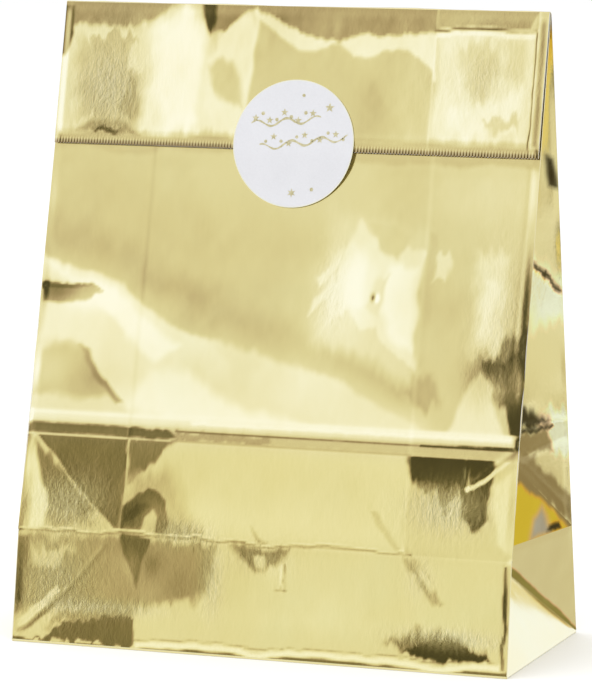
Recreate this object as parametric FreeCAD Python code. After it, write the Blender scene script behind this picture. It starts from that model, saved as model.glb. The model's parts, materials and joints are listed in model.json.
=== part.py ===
"""Self-opening gift sack of metallised paper: flat base, pleated sides, folded-over top and a round seal.

Frame: origin on the floor under the middle of the base, X along the sack's width, -Y to its front, +Z up.
The sack is one glued sheet, so each node is one panel of it between creases. The seal is a disc of its own.
"""
import FreeCAD, Part
import math
import os

V = FreeCAD.Vector

# ---- driving dimensions, mm and degrees --------------------------------------------------------
BASE_WIDTH = 250.0
BASE_DEPTH = 106.0
CREASE_WIDTH = 245.0        # the sack tapers a little from base to top crease
PAPER = 0.2                 # sheet thickness
LAYER_PITCH = 0.4           # spacing of sheets that lie flat on each other
HINGE_HEIGHT = 1.2          # base creases, just above the glued base layers
LOWER_FRONT_LEAN = 9.0      # the front wall leans back a little below its half-depth crease ...
UPPER_FRONT_LEAN = 14.5     # ... and more above it
FRONT_LENGTH = 309.0        # base crease to top crease, along the front wall
FLAP_LENGTH = 69.0          # folded-over top
PINK_PITCH = 2.5            # zigzag cut along the mouth of the sack
PINK_DEPTH = 1.2
EDGE_GAP = 0.5              # clearance left between panels at a crease
SWING_CLEARANCE = 8.0       # the base swings past the upper front wall's lower edge
SEAL_RADIUS = 30.5
SEAL_THICKNESS = 0.15
SEAL_CENTRE_DROP = 65.0     # seal centre below the top crease, along the flap
SEAM_LAP = 15.0             # glued overlap down the middle of the back wall
BASE_FLAP_FRONT = 80.0      # outer glued base flap, from the front crease backwards
BASE_FLAP_REAR = 60.0       # inner glued base flap, from the rear crease forwards
TUCK_REACH = 45.0           # side tucks above the base flaps
GLUE_LINE = 0.05            # between glued layers
TRIANGLE_HEIGHT = 0.9       # base triangles' crease, below the wall creases so that they fold in first
CUT_REACH = 1.0             # how far a cutting outline reaches to either side of a sheet

# ---- derived places, as (y, z) in the side view ------------------------------------------------
HALF_DEPTH = BASE_DEPTH / 2
UPPER_LENGTH = FRONT_LENGTH - HALF_DEPTH
FLAP_STACK = 2 * LAYER_PITCH                # first flap layer in front of the front wall
BACK_STACK = 3 * LAYER_PITCH                # back wall behind the front wall at the top crease
FRONT_CREASE = (-HALF_DEPTH, HINGE_HEIGHT)
REAR_CREASE = (HALF_DEPTH, HINGE_HEIGHT)


def along(start, lean, distance):
    """The point this far up a wall that leans back by lean degrees."""
    a = math.radians(lean)
    return (start[0] + distance * math.sin(a), start[1] + distance * math.cos(a))


HALF_CREASE = along(FRONT_CREASE, LOWER_FRONT_LEAN, HALF_DEPTH)
TOP_CREASE = along(HALF_CREASE, UPPER_FRONT_LEAN, UPPER_LENGTH)
OUTWARD = (-math.cos(math.radians(UPPER_FRONT_LEAN)), math.sin(math.radians(UPPER_FRONT_LEAN)))
BACK_TOP = (TOP_CREASE[0] - BACK_STACK * OUTWARD[0], TOP_CREASE[1] - BACK_STACK * OUTWARD[1])
BACK_LEAN = -math.degrees(math.atan2(REAR_CREASE[0] - BACK_TOP[0], BACK_TOP[1] - REAR_CREASE[1]))
BACK_LENGTH = math.hypot(REAR_CREASE[0] - BACK_TOP[0], BACK_TOP[1] - REAR_CREASE[1])


def half_width(z):
    """Half the sack's width at a height."""
    share = min(1.0, max(0.0, (z - HINGE_HEIGHT) / (TOP_CREASE[1] - HINGE_HEIGHT)))
    return (BASE_WIDTH + (CREASE_WIDTH - BASE_WIDTH) * share) / 2


# ---- building blocks ---------------------------------------------------------------------------
def crease_strip(length, half):
    """A sheet standing up from the X axis, its lower edge rounded about that axis, its crease line."""
    r = PAPER / 2
    bend = Part.Arc(V(-half, r, 0), V(-half, 0, -r), V(-half, -r, 0)).toShape()
    points = [V(-half, -r, 0), V(-half, -r, length), V(-half, r, length), V(-half, r, 0)]
    edges = [Part.makeLine(a, b) for a, b in zip(points, points[1:])]
    return Part.Face(Part.Wire([bend] + edges)).extrude(V(2 * half, 0, 0))


def trimmed(strip, outline):
    """The part of a standing sheet inside an outline of (x, z) points."""
    points = [V(x, -CUT_REACH, z) for x, z in outline]
    cutter = Part.Face(Part.makePolygon(points + points[:1])).extrude(V(0, 2 * CUT_REACH, 0))
    return strip.common(cutter).Solids[0]


def leaning(shape, place, lean):
    """Leans a standing sheet back about the X axis by lean degrees, then puts its crease at (y, z)."""
    moved = shape.copy()
    moved.rotate(V(0, 0, 0), V(1, 0, 0), -lean)
    moved.translate(V(0, place[0], place[1]))
    return moved


def facet_normals(points, facets):
    """Each directed facet edge, as a pair of point numbers, with its facet's unit normal."""
    normal_of = {}
    for a, b, c in facets:
        n = (points[b] - points[a]).cross(points[c] - points[a]).normalize()
        normal_of.update({(a, b): n, (b, c): n, (c, a): n})
    return normal_of


def drawn_in(points, normal_of, gap):
    """The outline with its edges gap further in. A point on a fold line moves along it, so that the
    facets keep their planes."""
    moved = []
    for i, p in enumerate(points):
        last, following = (i - 1) % len(points), (i + 1) % len(points)
        before = normal_of[(last, i)].cross(p - points[last]).normalize()
        after = normal_of[(i, following)].cross(points[following] - p).normalize()
        folds = [points[b] - p for a, b in normal_of if a == i and b not in (last, following)]
        way = V(0, 0, 0)
        for direction in folds or (before, after):
            way = way + direction.normalize()
        way.normalize()
        moved.append(p + way * (gap / min(way.dot(before), way.dot(after))))
    return moved


def folded_sheet(points, facets):
    """A closed solid, PAPER thick, over triangular facets of an outline, drawn in a little at its edges.
    The points run round the outline, and the facets turn the same way."""
    normal_of = facet_normals(points, facets)
    edge = drawn_in(points, normal_of, EDGE_GAP)
    thickness = []
    for i in range(len(points)):
        mean = sum((n for (a, _), n in normal_of.items() if a == i), V(0, 0, 0))
        thickness.append(mean.normalize() * (PAPER / 2))
    top = [p + n for p, n in zip(edge, thickness)]
    under = [p - n for p, n in zip(edge, thickness)]
    faces = []
    for a, b, c in facets:
        faces.append((top[a], top[b], top[c]))
        faces.append((under[c], under[b], under[a]))
    for i in range(len(edge)):
        j = (i + 1) % len(edge)
        faces.append((under[i], under[j], top[j]))
        faces.append((under[i], top[j], top[i]))
    shell = Part.makeShell([Part.Face(Part.makePolygon(list(f) + [f[0]])) for f in faces])
    solid = Part.makeSolid(shell)
    return solid if solid.Volume > 0 else solid.reversed()


def mirrored(shape):
    return shape.mirror(V(0, 0, 0), V(1, 0, 0))


def box(x0, x1, y0, y1, z0):
    """A flat sheet lying level, its underside at z0."""
    return Part.makeBox(x1 - x0, y1 - y0, PAPER, V(x0, y0, z0))


# ---- walls -------------------------------------------------------------------------------------
def back_wall(side):
    """Half of the back wall. The sheet's two edges lap and are glued down the middle, right over left."""
    lap = SEAM_LAP / 2
    strip = crease_strip(BACK_LENGTH, BASE_WIDTH / 2)
    bottom, top = half_width(HINGE_HEIGHT), half_width(BACK_TOP[1])
    end = BACK_LENGTH - EDGE_GAP
    start = -PAPER if side < 0 else EDGE_GAP
    outline = [(side * bottom, start), (side * top, end), (-side * lap, end), (-side * lap, start)]
    sheet = trimmed(strip, outline)
    if side > 0:
        sheet.translate(V(0, PAPER + GLUE_LINE, 0))
    return leaning(sheet, REAR_CREASE, BACK_LEAN)


def lower_front_wall():
    strip = crease_strip(HALF_DEPTH, BASE_WIDTH / 2)
    bottom, top = half_width(HINGE_HEIGHT), half_width(HALF_CREASE[1])
    end = HALF_DEPTH - EDGE_GAP / 2
    return leaning(trimmed(strip, [(-bottom, -PAPER), (bottom, -PAPER), (top, end), (-top, end)]),
                   FRONT_CREASE, LOWER_FRONT_LEAN)


def upper_front_wall():
    """Hangs from the top crease down to just above the half-depth crease."""
    strip = crease_strip(UPPER_LENGTH, BASE_WIDTH / 2)
    top, bottom = half_width(TOP_CREASE[1]), half_width(HALF_CREASE[1])
    end = UPPER_LENGTH - SWING_CLEARANCE
    hanging = trimmed(strip, [(-top, -PAPER), (top, -PAPER), (bottom, end), (-bottom, end)])
    return leaning(hanging, TOP_CREASE, UPPER_FRONT_LEAN + 180)


# ---- folded-over top ---------------------------------------------------------------------------
def flap_place(offset):
    """Where a flap layer's crease lies, offset mm in front of the front wall."""
    return (TOP_CREASE[0] + offset * OUTWARD[0], TOP_CREASE[1] + offset * OUTWARD[1])


def pinked(x0, x1, start, end):
    """An outline whose far edge is cut in a zigzag."""
    teeth = int(round((x1 - x0) / PINK_PITCH))
    step = (x1 - x0) / teeth
    edge = []
    for k in range(teeth):
        edge.append((x1 - k * step, end - PINK_DEPTH))
        edge.append((x1 - (k + 0.5) * step, end))
    return [(x0, start), (x1, start)] + edge + [(x0, end - PINK_DEPTH)]


def flap_layer(offset):
    """A full-width layer, its upper edge rounded about its crease."""
    half = CREASE_WIDTH / 2
    strip = crease_strip(FLAP_LENGTH + PINK_DEPTH, half)
    sheet = trimmed(strip, pinked(-half, half, -PAPER, FLAP_LENGTH))
    return leaning(sheet, flap_place(offset), UPPER_FRONT_LEAN + 180)


def flap_pleat(offset, side):
    """The side pleat's layer inside the flap: one half of it, as wide as half the sack's depth."""
    half = CREASE_WIDTH / 2
    x0, x1 = sorted((side * (half - EDGE_GAP), side * (half - HALF_DEPTH)))
    strip = crease_strip(FLAP_LENGTH + PINK_DEPTH, half)
    sheet = trimmed(strip, pinked(x0, x1, 2 * EDGE_GAP, FLAP_LENGTH))
    return leaning(sheet, flap_place(offset), UPPER_FRONT_LEAN + 180)


def seal():
    """Round paper seal over the flap's edge, on its outer face."""
    disc = Part.makeCylinder(SEAL_RADIUS, SEAL_THICKNESS, V(0, 0, SEAL_CENTRE_DROP), V(0, 1, 0))
    disc.translate(V(0, -SEAL_THICKNESS / 2, 0))
    return leaning(disc, flap_place(FLAP_STACK + 4 * LAYER_PITCH), UPPER_FRONT_LEAN + 180)


# ---- pleated sides (the right one, at +X) ------------------------------------------------------
def apex_rise(push):
    """Height of the base triangle's apex over the base when it leans in by push."""
    return math.sqrt(HALF_DEPTH ** 2 - push ** 2)


def apex_push():
    """How far the base triangle's apex leans in. Half the depth, measured along the sheet, has to reach it
    both from the middle of the base edge and from the front wall's half-depth crease."""
    low, high = 0.0, HALF_DEPTH
    for _ in range(60):
        push = (low + high) / 2
        reach = math.hypot(push, HALF_CREASE[0], HALF_CREASE[1] - HINGE_HEIGHT - apex_rise(push))
        if reach < HALF_DEPTH:
            low = push
        else:
            high = push
    return push


def side_corners():
    """Corner points of the right side's creases."""
    edge = half_width(HALF_CREASE[1])
    push = apex_push()
    top = flap_place(-LAYER_PITCH)
    rear_top = flap_place(-2 * LAYER_PITCH)
    rear_half = along(REAR_CREASE, BACK_LEAN, HALF_DEPTH)
    crease_half = half_width(TOP_CREASE[1])
    return {
        "front_foot": V(half_width(0), FRONT_CREASE[0], HINGE_HEIGHT),
        "rear_foot": V(half_width(0), REAR_CREASE[0], HINGE_HEIGHT),
        "front_half": V(edge, HALF_CREASE[0], HALF_CREASE[1]),
        "rear_half": V(edge, rear_half[0], rear_half[1]),
        "apex": V(half_width(0) - push, 0, HINGE_HEIGHT + apex_rise(push)),
        "front_top": V(crease_half, top[0], top[1]),
        "front_pleat": V(crease_half - HALF_DEPTH, top[0], top[1]),
        "rear_top": V(crease_half, rear_top[0], rear_top[1]),
        "rear_pleat": V(crease_half - HALF_DEPTH, rear_top[0], rear_top[1]),
    }


def side_panels():
    """The right side's panels: base triangle, front corner fold, and the pleat's front and rear halves."""
    c = side_corners()
    step = V(0, LAYER_PITCH, 0)             # the pleat's halves lie either side of its middle crease
    behind_front = V(0, LAYER_PITCH / 2, 0)
    lower = V(0, 0, TRIANGLE_HEIGHT - HINGE_HEIGHT)
    triangle = [c["front_foot"] + lower, c["rear_foot"] + lower, c["apex"] + lower]
    corner = [c["front_foot"], c["apex"], c["front_half"]]
    front = [c["front_half"] + behind_front, c["apex"] - step, c["front_pleat"], c["front_top"]]
    rear = [c["rear_foot"], c["rear_half"], c["rear_top"], c["rear_pleat"], c["apex"] + step]
    return {
        "base_triangle": folded_sheet(triangle, [(0, 1, 2)]),
        "front_corner_fold": folded_sheet(corner, [(0, 1, 2)]),
        "gusset_front": folded_sheet(front, [(0, 1, 3), (1, 2, 3)]),
        "gusset_rear": folded_sheet(rear, [(0, 1, 4), (1, 2, 4), (2, 3, 4)]),
    }


# ---- glued base --------------------------------------------------------------------------------
def base_tuck(side):
    """A side's tuck, folded in first, so it is the innermost base layer."""
    half = BASE_WIDTH / 2 - EDGE_GAP
    level = 2 * (PAPER + GLUE_LINE)
    y = HALF_DEPTH - EDGE_GAP
    inner, taper = half - TUCK_REACH, TUCK_REACH / 2
    outline = [(half, -y), (half, y), (inner, y - taper), (inner, taper - y)]
    points = [V(side * x, y0, level) for x, y0 in outline]
    return Part.Face(Part.makePolygon(points + points[:1])).extrude(V(0, 0, PAPER))


def base_flap(front):
    half = BASE_WIDTH / 2 - EDGE_GAP
    if front:
        y0 = -HALF_DEPTH + EDGE_GAP
        return box(-half, half, y0, y0 + BASE_FLAP_FRONT, 0)
    y1 = HALF_DEPTH - EDGE_GAP
    return box(-half, half, y1 - BASE_FLAP_REAR, y1, PAPER + GLUE_LINE)


def build():
    parts = {
        "back_wall_left": back_wall(-1),
        "back_wall_right": back_wall(1),
        "lower_front_wall": lower_front_wall(),
        "upper_front_wall": upper_front_wall(),
        "flap_inner_layer": flap_layer(FLAP_STACK),
        "flap_outer_layer": flap_layer(FLAP_STACK + 3 * LAYER_PITCH),
        "seal_disc": seal(),
        "base_flap_front": base_flap(True),
        "base_flap_rear": base_flap(False),
        "base_tuck_left": base_tuck(-1),
        "base_tuck_right": base_tuck(1),
    }
    for name, side in (("left", -1), ("right", 1)):
        parts["flap_inner_pleat_" + name] = flap_pleat(FLAP_STACK + LAYER_PITCH, side)
        parts["flap_outer_pleat_" + name] = flap_pleat(FLAP_STACK + 2 * LAYER_PITCH, side)
    for name, panel in side_panels().items():
        parts[name + "_right"] = panel
        parts[name + "_left"] = mirrored(panel)
    return parts


if __name__ == "__main__":
    os.makedirs("parts", exist_ok=True)
    for name, shape in build().items():
        assert shape.isValid() and shape.Volume > 0, name
        shape.exportStep("parts/" + name + ".step")
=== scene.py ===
import json
import math

import bpy
import numpy as np
from mathutils import Matrix, Vector


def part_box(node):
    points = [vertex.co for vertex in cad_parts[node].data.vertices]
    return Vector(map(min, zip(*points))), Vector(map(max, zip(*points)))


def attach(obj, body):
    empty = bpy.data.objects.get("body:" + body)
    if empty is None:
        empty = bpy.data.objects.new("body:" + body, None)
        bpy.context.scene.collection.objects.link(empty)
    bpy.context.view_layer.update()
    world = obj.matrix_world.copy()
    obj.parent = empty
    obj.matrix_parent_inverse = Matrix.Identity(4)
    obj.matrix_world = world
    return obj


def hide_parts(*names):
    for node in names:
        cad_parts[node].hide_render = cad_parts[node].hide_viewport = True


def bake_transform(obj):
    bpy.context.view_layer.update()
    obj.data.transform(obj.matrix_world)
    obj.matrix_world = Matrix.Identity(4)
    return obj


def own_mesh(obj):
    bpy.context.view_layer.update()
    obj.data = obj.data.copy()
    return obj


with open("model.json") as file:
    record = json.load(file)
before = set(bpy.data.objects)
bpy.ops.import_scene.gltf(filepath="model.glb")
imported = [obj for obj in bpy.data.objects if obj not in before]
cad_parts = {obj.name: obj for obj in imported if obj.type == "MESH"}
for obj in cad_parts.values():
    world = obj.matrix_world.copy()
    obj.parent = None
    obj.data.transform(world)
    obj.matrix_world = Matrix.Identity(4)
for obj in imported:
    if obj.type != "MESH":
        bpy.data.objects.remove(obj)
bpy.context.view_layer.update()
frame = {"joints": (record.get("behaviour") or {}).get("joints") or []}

MM = 0.001
JOINTS = {j["name"]: j for j in frame["joints"]}


# ---- places, all from the frame
def pivot(joint):
    return Vector(JOINTS[joint]["pos_m"])


REAR_FOOT = pivot("fold_flat")
FRONT_FOOT = pivot("lower_front_fold")
TOP = pivot("upper_front_fold")
FLAP_INNER_TOP = pivot("flap_open")
FLAP_OUTER_TOP = pivot("mouth_spread")
SEAL_TOP = pivot("seal_peel")
HALF_CREASE = Vector((0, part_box("lower_front_wall")[1].y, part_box("lower_front_wall")[1].z))
BACK_TOP = Vector((0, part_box("back_wall_left")[0].y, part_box("back_wall_left")[1].z))
BASE_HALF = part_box("lower_front_wall")[1].x
TOP_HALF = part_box("flap_outer_layer")[1].x
PLEAT_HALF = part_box("flap_inner_pleat_right")[0].x
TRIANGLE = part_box("base_triangle_right")
APEX_INWARD, APEX_UP = 0.0004, 0.0007       # from the CAD triangle's cut tip to where its creases would meet
APEX = Vector((TRIANGLE[0].x - APEX_INWARD, 0, TRIANGLE[1].z + APEX_UP))
PAPER = 0.00025
SEAL_THICKNESS, PRINT_THICKNESS = 0.00018, 0.00004


def half_width(z):
    share = (z - FRONT_FOOT.z) / (TOP.z - FRONT_FOOT.z)
    return BASE_HALF + (TOP_HALF - BASE_HALF) * min(1, max(0, share))


def wide(point, side):
    """A crease point moved out to the sheet's left (-1) or right (+1) edge."""
    return Vector((side * half_width(point.z), point.y, point.z))


# ---- small shape functions, on arrays in millimetres
def rise(t, start, end):
    """0 before start, 1 after end, smooth between."""
    k = np.clip((t - start) / (end - start), 0, 1)
    return k * k * (3 - 2 * k)


def mound(x, s, at, reach, height):
    return height * np.exp(-((x - at[0]) / reach[0]) ** 2 - ((s - at[1]) / reach[1]) ** 2)


def segment_distance(x, s, start, end):
    dx, ds = end[0] - start[0], end[1] - start[1]
    t = np.clip(((x - start[0]) * dx + (s - start[1]) * ds) / (dx * dx + ds * ds), 0, 1)
    return np.hypot(x - start[0] - t * dx, s - start[1] - t * ds)


def ridge(x, s, start, end, width, height):
    return height * np.exp(-(segment_distance(x, s, start, end) / width) ** 2)


def mounds(x, s, rows, ground=0.0):
    """Bumps added to the ground. A row is (middle, reach across and along, height)."""
    return sum((mound(x, s, *row) for row in rows), ground)


def ridges(x, s, rows, ground=0.0):
    """Lines added to the ground. A row is (start, end, width, height)."""
    return sum((ridge(x, s, *row) for row in rows), ground)


def block(left, right, foot, top):
    """The outline of an upright rectangle."""
    return [(left, foot), (right, foot), (right, top), (left, top)]


def lattice_noise(x, s, size, seed):
    """Smooth noise between about -1 and 1, with features of this size."""
    rng = np.random.default_rng(seed)
    table = rng.uniform(-1, 1, (64, 64))
    gx, gs = x / size + 100, s / size + 100
    i, j = np.floor(gx).astype(int), np.floor(gs).astype(int)
    fx, fs = gx - i, gs - j
    fx, fs = fx * fx * (3 - 2 * fx), fs * fs * (3 - 2 * fs)
    near = table[i % 64, j % 64] * (1 - fx) + table[(i + 1) % 64, j % 64] * fx
    far = table[i % 64, (j + 1) % 64] * (1 - fx) + table[(i + 1) % 64, (j + 1) % 64] * fx
    return near * (1 - fs) + far * fs


def crinkle(x, s, size, seed, octaves=3):
    total = 0
    for k in range(octaves):
        total = total + lattice_noise(x, s, size / 2 ** k, seed + k) / 2 ** k
    return total


def inside(x, s, outline, soft):
    """1 inside an outline and 0 outside it, over a soft border."""
    nearest = np.full(np.shape(x), 1e9)
    within = np.zeros(np.shape(x), bool)
    for a, b in zip(outline, outline[1:] + outline[:1]):
        nearest = np.minimum(nearest, segment_distance(x, s, a, b))
        crossing = a[0] + (s - a[1]) * (b[0] - a[0]) / ((b[1] - a[1]) or 1)
        within ^= ((a[1] > s) != (b[1] > s)) & (x < crossing)
    return rise(np.where(within, nearest, -nearest), -soft, soft)


def facet_field(x, s, facets, start, seed, warp=2.5):
    """Facets laid over each other, later ones on top: (value, softness and fuzz of the border, outline)."""
    wx = x + warp * crinkle(x, s, 22, seed)
    ws = s + warp * crinkle(x, s, 22, seed + 10)
    fuzz_x = 0.4 * crinkle(x, s * 0.7, 5, seed + 20, 2)
    fuzz_s = crinkle(x, s * 0.25, 2.6, seed + 30, 2)
    field = np.zeros(np.shape(x) + np.shape(start)) + start
    for value, soft, fuzz, outline in facets:
        share = inside(wx + fuzz * fuzz_x, ws + fuzz * fuzz_s, outline, soft)
        share = share.reshape(share.shape + (1,) * np.ndim(start))
        field = field * (1 - share) + np.array(value) * share
    return field


def lean_field(x, s, facets, seed, warp=2.5):
    """Degrees that each point of the sheet leans to its left."""
    return facet_field(x, s, facets, 0.0, seed, warp)


def painted_light_over(facets, seed, warp=1.5):
    """Painted reflections, highlights and shade: a function for what the foil keeps of red, green and blue,
    painted where it mirrors other folds of the foil.
    """
    return lambda x, s: facet_field(x, s, facets, (1.0, 1.0, 1.0), seed, warp)


SMOOTHING = 60


def smoothed_along(height):
    for _ in range(SMOOTHING):
        padded = np.pad(height, ((1, 1), (0, 0)), mode="edge")
        height = (padded[:-2] + 2 * height + padded[2:]) / 4
    return height


# ---- node materials
class Nodes:
    """A short way to build a node tree."""

    def __init__(self, tree):
        self.tree = tree
        tree.nodes.clear()

    def add(self, kind, inputs=None, **settings):
        node = self.tree.nodes.new(kind)
        for key, value in settings.items():
            setattr(node, key, value)
        for key, value in (inputs or {}).items():
            if isinstance(value, bpy.types.NodeSocket):
                self.tree.links.new(value, node.inputs[key])
            else:
                node.inputs[key].default_value = value
        return node

    def noise(self, scale, detail=4.0, vector=None, roughness=0.55, distortion=0.0):
        inputs = {"Scale": scale, "Detail": detail, "Roughness": roughness, "Distortion": distortion}
        if vector is not None:
            inputs["Vector"] = vector
        return self.add("ShaderNodeTexNoise", inputs).outputs["Fac"]

    def math(self, operation, a, b=0.0, c=0.0):
        return self.add("ShaderNodeMath", {0: a, 1: b, 2: c}, operation=operation).outputs[0]

    def place(self):
        return self.add("ShaderNodeTexCoord").outputs["Object"]

    def attribute(self, name, output):
        return self.add("ShaderNodeAttribute", attribute_name=name).outputs[output]

    def mix(self, factor, a, b, blend="MIX"):
        inputs = {"Factor": factor, "A": a, "B": b}
        return self.add("ShaderNodeMix", inputs, data_type="RGBA", blend_type=blend).outputs["Result"]

    def bump(self, height, distance, strength, facing=None):
        inputs = {"Height": height, "Distance": distance, "Strength": strength}
        if facing is not None:
            inputs["Normal"] = facing
        return self.add("ShaderNodeBump", inputs).outputs[0]

    def surface(self, colour, roughness, facing, metallic=0.0):
        inputs = {"Base Color": colour, "Metallic": metallic, "Roughness": roughness, "Normal": facing}
        shader = self.add("ShaderNodeBsdfPrincipled", inputs)
        self.add("ShaderNodeOutputMaterial", {"Surface": shader.outputs[0]})

    def ramp(self, factor, stops):
        node = self.add("ShaderNodeValToRGB", {"Fac": factor})
        ramp = node.color_ramp
        while len(ramp.elements) < len(stops):
            ramp.elements.new(0.5)
        for element, (place, colour) in zip(ramp.elements, stops):
            element.position = place
            element.color = (*colour, 1)
        return node.outputs["Color"]


def new_material(name):
    material = bpy.data.materials.new(name)
    material.use_nodes = True
    return material, Nodes(material.node_tree)


def foil_material():
    """Metallised paper: pale gold mirror, finely crinkled, with a slight lean and painted reflections,
    highlights and shade stored on the mesh.
    """
    material, n = new_material("gold_foil")
    place = n.place()
    lean = n.attribute("lean", "Vector")
    lean = n.add("ShaderNodeVectorTransform", {0: lean}, vector_type="VECTOR",
                 convert_from="OBJECT", convert_to="WORLD").outputs[0]
    facing = n.add("ShaderNodeNewGeometry").outputs["Normal"]
    facing = n.add("ShaderNodeVectorMath", {0: facing, 1: lean}, operation="ADD").outputs[0]
    facing = n.add("ShaderNodeVectorMath", {0: facing}, operation="NORMALIZE").outputs[0]
    soft = n.noise(28.0, 3.0, place)
    upright = n.add("ShaderNodeMapping", {"Vector": place, "Scale": (1.0, 1.0, 0.6)}).outputs[0]
    fine = n.noise(470.0, 6.0, upright, 0.72, 0.3)
    facing = n.bump(soft, 0.0004, 0.3, facing)
    facing = n.bump(fine, 0.0006, n.attribute("crumple", "Fac"), facing)
    cloud = n.noise(14.0, 4.0, place)
    golds = [(0.3, (0.95, 0.82, 0.40)), (0.55, (0.95, 0.83, 0.42)), (0.75, (0.94, 0.84, 0.44))]
    colour = n.ramp(cloud, golds)
    # painted reflections, painted highlights and painted shade from the mesh multiply the gold
    colour = n.mix(1.0, colour, n.attribute("painted_light", "Color"), "MULTIPLY")
    rub = n.noise(60.0, 6.0, place, 0.65)
    n.surface(colour, n.math("MULTIPLY_ADD", rub, 0.08, 0.08), facing, 1.0)
    return material


def paper_material(name, base, shade, roughness, rim=None):
    """Uncoated paper: fibres in two sizes, in colour and relief. The mesh may say where a rim is printed."""
    material, n = new_material(name)
    place = n.place()
    fibres = n.noise(900.0, 6.0, place, 0.7, 0.6)
    cloud = n.noise(45.0, 4.0, place)
    mixed = n.math("MULTIPLY_ADD", fibres, 0.6, n.math("MULTIPLY", cloud, 0.4))
    colour = n.ramp(mixed, [(0.35, shade), (0.6, base)])
    if rim:
        colour = n.mix(n.attribute("border", "Fac"), colour, (*rim, 1))
    n.surface(colour, roughness, n.bump(mixed, 0.00006, 0.5))
    return material


def print_material():
    """Hot-stamped gold print on the seal."""
    material, n = new_material("gold_print")
    place = n.place()
    grain = n.noise(700.0, 4.0, place)
    colour = n.ramp(grain, [(0.35, (0.60, 0.53, 0.27)), (0.65, (0.80, 0.73, 0.44))])
    n.surface(colour, 0.4, n.bump(grain, 0.0001, 0.4), 0.6)
    return material


FOIL = foil_material()
INSIDE = paper_material("paper_inside", (0.86, 0.84, 0.80), (0.74, 0.72, 0.67), 0.75)
SEAL_PAPER = paper_material("seal_paper", (0.70, 0.70, 0.72), (0.66, 0.66, 0.68), 0.45, (0.74, 0.72, 0.50))
PRINT = print_material()


# ---- sheets
def mesh_piece(name, points, faces, materials, attributes=None):
    mesh = bpy.data.meshes.new(name)
    mesh.from_pydata([tuple(p) for p in points], [], faces)
    mesh.update()
    mesh.shade_smooth()
    for key, values in (attributes or {}).items():
        kind = "FLOAT_VECTOR" if np.ndim(values) == 2 else "FLOAT"
        field = "vector" if kind == "FLOAT_VECTOR" else "value"
        mesh.attributes.new(key, kind, "POINT").data.foreach_set(field, np.ravel(values).astype(np.float32))
    uses = np.bincount([loop.edge_index for loop in mesh.loops], minlength=len(mesh.edges))
    mesh.attributes.new("sharp_edge", "BOOLEAN", "EDGE").data.foreach_set("value", uses == 1)
    for material in materials:
        mesh.materials.append(material)
    piece = bpy.data.objects.new(name, mesh)
    bpy.context.scene.collection.objects.link(piece)
    return piece


def unit(vectors):
    return vectors / np.linalg.norm(vectors, axis=-1, keepdims=True)


def grid_faces(rows, cols):
    faces = []
    for r in range(rows):
        for c in range(cols):
            a = r * (cols + 1) + c
            faces.append((a, a + 1, a + cols + 2, a + cols + 1))
    return faces


def bilinear(corners, u, v):
    c = [np.array(p, float) for p in corners]
    uu, vv = u[..., None], v[..., None]
    return (1 - vv) * ((1 - uu) * c[0] + uu * c[1]) + vv * ((1 - uu) * c[3] + uu * c[2])


def shaped(x, s, relief, lean, crumple, painted_light):
    """Height, lean in degrees, crumple and painted light (painted reflections, highlights and shade) at each
    point, or plain values where there is no function.
    """
    looks = (relief, 0.0), (lean, 0.0), (crumple, 0.1), (painted_light, (1.0, 1.0, 1.0))
    return [look(x, s) if look else np.zeros(x.shape + np.shape(plain)) + plain for look, plain in looks]


def thicken(piece, thickness):
    solid = piece.modifiers.new("paper", "SOLIDIFY")
    solid.thickness = thickness
    solid.offset = -1
    return solid


def foil_piece(name, points, faces, right, degrees, rough, colour, cut_edge):
    """A foil sheet with its paper behind it. Plain paper is inside and, if the sheet was cut, on its edge."""
    leaning = -right * np.tan(np.radians(degrees))[..., None]
    # colour here is painted light: painted reflections, painted highlights and painted shade
    looks = {"lean": leaning.reshape(-1, 3), "crumple": rough.ravel(), "painted_light": colour.reshape(-1, 3)}
    piece = mesh_piece(name, points.reshape(-1, 3) * MM, faces, [FOIL, INSIDE], looks)
    solid = thicken(piece, PAPER)
    solid.material_offset = 1
    solid.material_offset_rim = 1 if cut_edge else 0
    return piece


def sheet(name, corners, places, relief=None, lean=None, bow=0.0, still=None, crumple=None, edge=None,
          step=(1.25, 1.25), cut_edge=False, painted_light=None):
    """A foil sheet over four corners, anticlockwise from the lower left as seen from outside.

    places gives each corner's (across, along) in mm, for the functions that shape it: relief is mm outwards,
    lean is degrees that the surface leans to its left, crumple goes from 0 to 1, and edge is mm along the
    sheet. A share bow of the lean is real shape, faded by still, and the rest is in the surface's normals."""
    grid = [np.array(p, float) / MM for p in corners]
    span = max(np.linalg.norm(grid[1] - grid[0]), np.linalg.norm(grid[2] - grid[3]))
    rise_mm = max(np.linalg.norm(grid[3] - grid[0]), np.linalg.norm(grid[2] - grid[1]))
    cols, rows = max(2, round(span / step[0])), max(2, round(rise_mm / step[1]))
    u, v = np.meshgrid(np.linspace(0, 1, cols + 1), np.linspace(0, 1, rows + 1))
    points = bilinear(grid, u, v)
    place_x, place_s = np.moveaxis(bilinear(places, u, v), 2, 0)
    right = unit(np.gradient(points, axis=1))
    up = unit(np.gradient(points, axis=0))
    out = unit(np.cross(right, up))
    height, degrees, rough, colour = shaped(place_x, place_s, relief, lean, crumple, painted_light)
    if bow:
        run = np.linalg.norm(np.diff(points, axis=1), axis=2)
        bowed = np.zeros(u.shape)
        bowed[:, 1:] = np.cumsum(np.tan(np.radians(degrees[:, 1:])) * run, axis=1)
        bowed = smoothed_along(bowed - bowed[:, -1:] * u) * bow
        bowed = bowed * (still(place_x, place_s) if still else 1)
        slope = np.gradient(bowed, axis=1) / np.pad(run, ((0, 0), (0, 1)), mode="edge")
        degrees = degrees - np.degrees(np.arctan(slope))
        height = height + bowed
    points = points + out * height[..., None]
    if edge is not None:
        points = points + up * edge(place_x, place_s)[..., None]
    return foil_piece(name, points, grid_faces(rows, cols), right, degrees, rough, colour, cut_edge)


TRIANGLE_STEP = 1.25


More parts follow.
